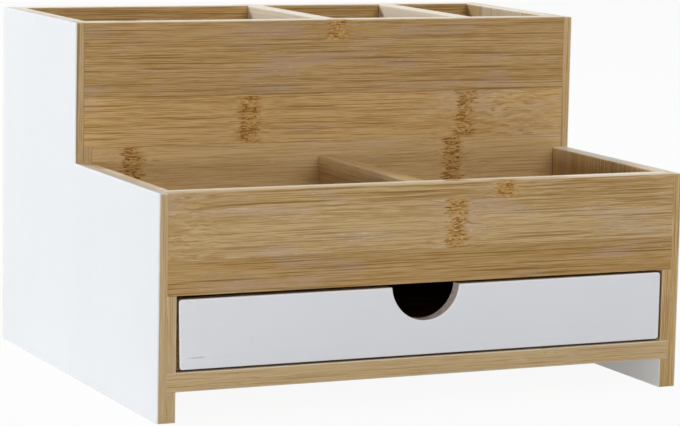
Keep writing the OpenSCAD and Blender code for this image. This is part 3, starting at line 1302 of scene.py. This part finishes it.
class ORGANIZER_OT_drawer_box(bpy.types.Operator):
    """Make the drawer's sides, its back and its plywood bottom"""

    bl_idname = "organizer.drawer_box"
    bl_label = "Drawer Box"

    def execute(self, context):
        walls = {
            "drawer_side_left": DEEP_DIVIDER,
            "drawer_side_right": DEEP_DIVIDER,
            "drawer_back": STANDING_PANEL,
        }
        for node, axes in walls.items():
            wall = begin_block(node + "_board", *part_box(node))
            cut_block(wall, *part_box("drawer_bottom"))
            finish_board(wall, node, axes, "drawer_wood", TOP)
        panel = begin_block("drawer_bottom_panel", *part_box("drawer_bottom"))
        ease_joints(panel)
        dress(panel, "drawer_bottom", "drawer_ply", ply_material())
        return {"FINISHED"}


# Rim, slope and depth in metres of the dish that dried filler has
DISH_RIM = 0.15 * MM
DISH_SLOPE = 0.3 * MM
DISH_DEPTH = 0.06 * MM


class ORGANIZER_OT_brads(bpy.types.Operator):
    """Finish the steel brads and fill the holes over their heads"""

    bl_idname = "organizer.brads"
    bl_label = "Brads and Fillers"

    def execute(self, context):
        steel = steel_material()
        for slot in frame["nodes"]["brads"].material_slots:
            slot.material = steel
        seats = brad_seats()
        y, z = seats[0]
        face = Vector((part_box("brad_fillers")[1].x, y, z))
        head = Vector((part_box("brads")[1].x, y, z))
        plug = begin_rod("brad_filler_plugs", face, head, sizes().brad_head / 2, BRAD_SIDES)
        with editing(plug):
            select_faces(plug, lambda end: end.normal.x > FACING)
            bpy.ops.mesh.inset(thickness=DISH_RIM)
            bpy.ops.mesh.inset(thickness=DISH_SLOPE)
            bpy.ops.transform.translate(value=(-DISH_DEPTH, 0, 0))
        plugs = [plug]
        places = [(*seat, turn) for seat in seats for turn in (0, math.pi)]
        for seat_y, seat_z, turn in places[1:]:
            choose(plug)
            bpy.ops.object.duplicate()
            bpy.ops.transform.translate(value=(0, seat_y - y, seat_z - z))
            bpy.ops.transform.rotate(value=turn, orient_axis="Z", center_override=(0, seat_y, 0))
            bpy.ops.object.transform_apply(location=True, rotation=True, scale=True)
            plugs.append(bpy.context.active_object)
        choose(*plugs)
        bpy.ops.object.join()
        dress(plug, "brad_fillers", "painted_filler", side_paint())
        return {"FINISHED"}


# Stage

# Where each lamp stands and how wide it is, in metres
LAMPS = {
    "key": ((-1.5, 2.0, 1.75), 0.7),
    "fill": ((0.45, -1.55, 1.05), 1.3),
    "low_fill": ((-3.0, -1.2, 0.15), 0.25),
    "side_fill": ((2.6, 0.6, 0.9), 1.0),
}
# The floor's radius in metres, its share of plain white in sight, its darkest clouds and its dull finish
FLOOR_RADIUS = 9.0
FLOOR_GLOW = 0.93
FLOOR_CLOUDS = (0.985, 0.985, 0.985)
FLOOR_FINISH = {"Roughness": 0.9, "Specular IOR Level": 0.0}
# Tint of the light from the walls, its gain at the horizon and the height above which it is even
ROOM_TINT = (0.96, 0.98, 1.0, 1.0)
GAIN_AT_HORIZON = 1.1
EVEN_HEIGHT = 0.8


def add_lamp(name, place, width, strength):
    """A square lamp that points at the middle of the organizer."""
    middle = (CAD_BOX[0] + CAD_BOX[1]) / 2
    turn = (middle - Vector(place)).to_track_quat("-Z", "Y").to_euler()
    bpy.ops.object.light_add(type="AREA", location=place, rotation=turn)
    lamp = bpy.context.active_object
    lamp.name = name
    lamp.data.energy = strength
    lamp.data.size = width


def seen_directly(tree):
    """1 on the ways from the camera, also over gloss and through glass, and 0 on all other light."""
    path = put(tree, "ShaderNodeLightPath").outputs
    ways = ("Is Camera Ray", "Is Glossy Ray", "Is Transmission Ray")
    camera, gloss, glass = (Wire(path[way]) for way in ways)
    return camera.calc("MAXIMUM", gloss).calc("MAXIMUM", glass)


def floor_material(tint):
    """Pale floor that looks white to the camera and keeps the object's shadow."""
    material, tree, shader = begin_material("Pale floor", FLOOR_FINISH)
    cloud = noise(grain_place(tree, LYING_BOARD), "floor cloud")
    pale = blend(cloud, shaded(tint, FLOOR_CLOUDS), opaque(tint))
    tree.links.new(pale.socket, shader.inputs["Base Color"])
    glow = add(tree, "ShaderNodeEmission", {"Color": WHITE, "Strength": 1.0})
    layers = {0: seen_directly(tree) * FLOOR_GLOW, 1: Wire(shader.outputs[0]), 2: glow}
    mixed = add(tree, "ShaderNodeMixShader", layers)
    output = next(node for node in tree.nodes if node.type == "OUTPUT_MATERIAL")
    tree.links.new(mixed.socket, output.inputs["Surface"])
    return material


def light_room(strength):
    """Soft light from the walls of a room, which looks white to the camera and in reflections."""
    world = bpy.data.worlds.new("White room")
    world.use_nodes = True
    tree = world.node_tree
    tree.nodes.clear()
    height = split(add(tree, "ShaderNodeTexCoord", output="Generated"))[Z]
    level = step(height, 0.0, EVEN_HEIGHT, GAIN_AT_HORIZON * strength, strength)
    even = add(tree, "ShaderNodeBackground", {"Color": ROOM_TINT, "Strength": level})
    white = add(tree, "ShaderNodeBackground", {"Color": WHITE, "Strength": 1.0})
    mixed = add(tree, "ShaderNodeMixShader", {0: seen_directly(tree), 1: even, 2: white})
    put(tree, "ShaderNodeOutputWorld", {"Surface": mixed})
    bpy.context.scene.world = world


class ORGANIZER_OT_stage(bpy.types.Operator):
    """Set up the floor, the lamps and the camera"""

    bl_idname = "organizer.stage"
    bl_label = "Stage"

    def execute(self, context):
        stage = context.scene.organizer_stage
        bpy.ops.object.select_all(action="DESELECT")
        bpy.ops.mesh.primitive_circle_add(vertices=FLOOR_SIDES, radius=FLOOR_RADIUS, fill_type="NGON")
        floor = name_and_settle("floor")
        floor.data.materials.append(floor_material(stage.floor))
        for name, (place, width) in LAMPS.items():
            add_lamp(name.capitalize().replace("_", " "), place, width, getattr(stage, name))
        light_room(stage.room)
        turn = (
            Matrix.Rotation(-stage.azimuth, 4, "Z")
            @ Matrix.Rotation(math.pi / 2 - stage.elevation, 4, "X")
            @ Matrix.Rotation(stage.roll, 4, "Z")
        )
        bpy.ops.object.camera_add(location=stage.camera_place, rotation=turn.to_euler())
        camera = bpy.context.active_object
        camera.name = "Photo camera"
        camera.data.lens = stage.lens
        camera.data.sensor_width = 36.0
        camera.data.clip_start = 0.01
        camera.data.clip_end = 50.0
        context.scene.camera = camera
        context.scene.view_settings.view_transform = "Standard"
        return {"FINISHED"}


GROUPS = {
    "organizer_sizes": OrganizerSizes,
    "organizer_colours": OrganizerColours,
    "organizer_stage": OrganizerStage,
}

STEPS = (
    ORGANIZER_OT_side_boards,
    ORGANIZER_OT_front_panels,
    ORGANIZER_OT_case_boards,
    ORGANIZER_OT_dividers,
    ORGANIZER_OT_drawer_front,
    ORGANIZER_OT_drawer_box,
    ORGANIZER_OT_brads,
    ORGANIZER_OT_stage,
)


class ORGANIZER_PT_steps(bpy.types.Panel):
    """Lists the steps, sizes and colours of the organizer"""

    bl_idname = "ORGANIZER_PT_steps"
    bl_label = "Makeup Organizer"
    bl_space_type = "VIEW_3D"
    bl_region_type = "UI"
    bl_category = "Organizer"

    def draw(self, context):
        for step_class in STEPS:
            self.layout.operator(step_class.bl_idname)
        for group_name in GROUPS:
            group = getattr(context.scene, group_name)
            box = self.layout.box()
            for name in group.__annotations__:
                box.prop(group, name)


def register():
    for group in GROUPS.values():
        bpy.utils.register_class(group)
    for name, group in GROUPS.items():
        setattr(bpy.types.Scene, name, PointerProperty(type=group))
    for step_class in STEPS:
        bpy.utils.register_class(step_class)
    bpy.utils.register_class(ORGANIZER_PT_steps)


def unregister():
    bpy.utils.unregister_class(ORGANIZER_PT_steps)
    for step_class in reversed(STEPS):
        bpy.utils.unregister_class(step_class)
    for name in GROUPS:
        delattr(bpy.types.Scene, name)
    for group in reversed(GROUPS.values()):
        bpy.utils.unregister_class(group)


def main():
    """Builds the organizer step by step."""
    register()
    bpy.ops.organizer.side_boards()
    bpy.ops.organizer.front_panels()
    bpy.ops.organizer.case_boards()
    bpy.ops.organizer.dividers()
    bpy.ops.organizer.drawer_front()
    bpy.ops.organizer.drawer_box()
    bpy.ops.organizer.brads()
    bpy.ops.organizer.stage()


if __name__ == "__main__":
    main()
